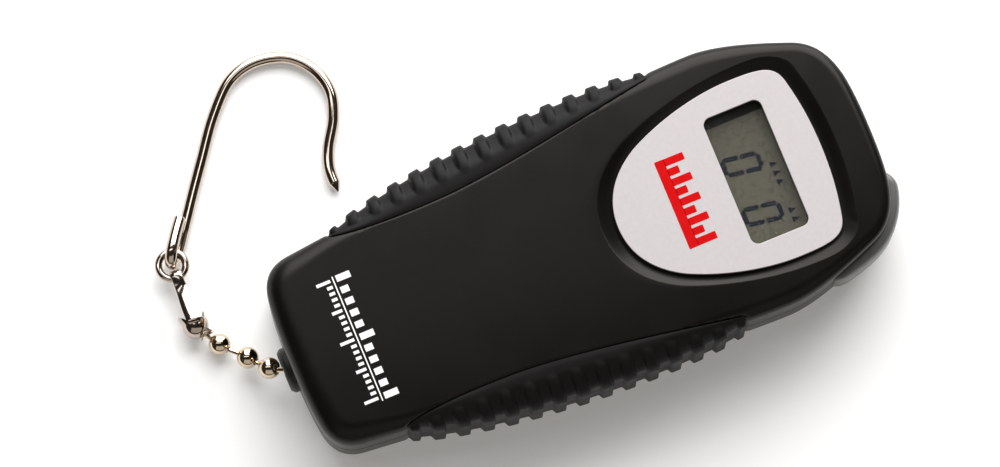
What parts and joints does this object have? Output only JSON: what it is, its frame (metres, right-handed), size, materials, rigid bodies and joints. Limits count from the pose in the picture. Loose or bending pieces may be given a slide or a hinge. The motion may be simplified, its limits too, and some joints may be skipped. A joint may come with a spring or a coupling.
{
  "type": "digital fish scale",
  "caption": "Hand-held digital hanging scale: ribbed-grip case with a liquid-crystal display and corner power button, and a ball chain, split ring and wire hook pulling on a load cell.",
  "frame": {"origin": "on the flat back face, on the case's centre line and halfway along the case", "axes": "+Y along the case to the display end, +X to the reader's right with the hook end down, +Z out of the display"},
  "size_m": [0.1018, 0.1597, 0.027],
  "materials": {
    "case_black": "soft-touch matt black moulding with a faint warm sheen",
    "grip_rubber": "ribbed matt black overmoulded rubber",
    "display_silver": "warm light silver painted plate with a fine grain",
    "clear_pane": "clear flat window",
    "lcd_glass": "grey olive liquid-crystal glass",
    "holder_white": "white moulded holder",
    "zebra_rubber": "striped elastomer connector",
    "board_green": "green solder mask",
    "component_black": "black epoxy and moulding",
    "button_rubber": "grey translucent rubber",
    "cell_aluminium": "milled aluminium",
    "gauge_foil": "amber foil gauge under a clear coat",
    "inner_steel": "zinc plated steel",
    "chain_nickel": "bright warm nickel plate",
    "clip_nickel": "bright nickel plated strip",
    "ring_nickel": "bright nickel plated wire",
    "hook_nickel": "polished nickel plated wire",
    "battery_wrap": "plain printed film, no lettering",
    "lead_red": "red insulated lead",
    "lead_black": "black insulated lead",
    "lead_white": "white sheathed four-core lead"
  },
  "bodies": {
    "housing": {"front_shell": "case_black", "rear_shell": "case_black", "grip_right": "grip_rubber", "grip_left": "grip_rubber", "display_plate": "display_silver", "display_pane": "clear_pane", "draw_rod": "inner_steel", "exit_bush": "case_black", "lcd_panel": "lcd_glass", "lcd_holder": "holder_white", "zebra_strip_near": "zebra_rubber", "zebra_strip_far": "zebra_rubber", "main_board": "board_green", "chip_cover": "component_black", "crystal_can": "inner_steel", "power_switch": "component_black", "load_cell": "cell_aluminium", "strain_gauge": "gauge_foil", "anchor_bracket": "inner_steel", "anchor_bolt": "inner_steel", "end_ball": "chain_nickel", "battery_left": "battery_wrap", "battery_right": "battery_wrap", "battery_spring_contact": "inner_steel", "battery_plate_contact": "inner_steel", "battery_bridge_contact": "inner_steel", "battery_lead_red": "lead_red", "battery_lead_black": "lead_black", "cell_lead": "lead_white", "case_screw_1": "inner_steel", "case_screw_2": "inner_steel", "case_screw_3": "inner_steel", "case_screw_4": "inner_steel", "board_screw_1": "inner_steel", "board_screw_2": "inner_steel", "bracket_screw_1": "inner_steel", "bracket_screw_2": "inner_steel"},
    "power_button": {"power_button": "button_rubber"},
    "battery_door": {"battery_door": "case_black"},
    "chain_first": {"chain_link_1": "chain_nickel", "chain_ball_1": "chain_nickel"},
    "chain_second": {"chain_link_2": "chain_nickel", "chain_ball_2": "chain_nickel"},
    "chain_third": {"chain_link_3": "chain_nickel", "chain_ball_3": "chain_nickel"},
    "chain_clip": {"chain_link_4": "chain_nickel", "clip_ball": "chain_nickel", "chain_clip": "clip_nickel"},
    "swivel_ring": {"swivel_ring": "ring_nickel"},
    "hook": {"hook": "hook_nickel"}
  },
  "joints": [
    {"name": "power_button_press", "type": "slide", "parent": "housing", "child": "power_button", "axis": [-0.7071, -0.7071, 0], "range_m": [0, 0.0004], "stiffness_N_per_m": 1500},
    {"name": "battery_door_slide", "type": "slide", "parent": "housing", "child": "battery_door", "axis": [0, 1, 0], "range_m": [0, 0.05]},
    {"name": "chain_root_lift", "type": "hinge", "parent": "housing", "child": "chain_first", "pos_m": [-0.00051, -0.07045, 0.01114], "axis": [-0.8944, 0.4472, 0], "range_deg": [0, 22]},
    {"name": "chain_second_turn", "type": "hinge", "parent": "chain_first", "child": "chain_second", "pos_m": [-0.00359, -0.07495, 0.00761], "axis": [0, 0, 1], "range_deg": [0, 20]},
    {"name": "chain_third_lift", "type": "hinge", "parent": "chain_second", "child": "chain_third", "pos_m": [-0.00846, -0.07829, 0.00347], "axis": [-0.6485, 0.7612, 0], "range_deg": [0, 19]},
    {"name": "chain_clip_turn", "type": "hinge", "parent": "chain_third", "child": "chain_clip", "pos_m": [-0.01411, -0.08292, 0.00243], "axis": [0, 0, 1], "range_deg": [0, 20]},
    {"name": "ring_tilt", "type": "hinge", "parent": "chain_clip", "child": "swivel_ring", "pos_m": [-0.02965, -0.0849, 0.0038], "axis": [0, 1, 0], "range_deg": [0, 33]},
    {"name": "hook_swing", "type": "hinge", "parent": "swivel_ring", "child": "hook", "pos_m": [-0.0327, -0.0849, 0.0038], "axis": [0, 0, 1], "range_deg": [-5, 90]}
  ]
}
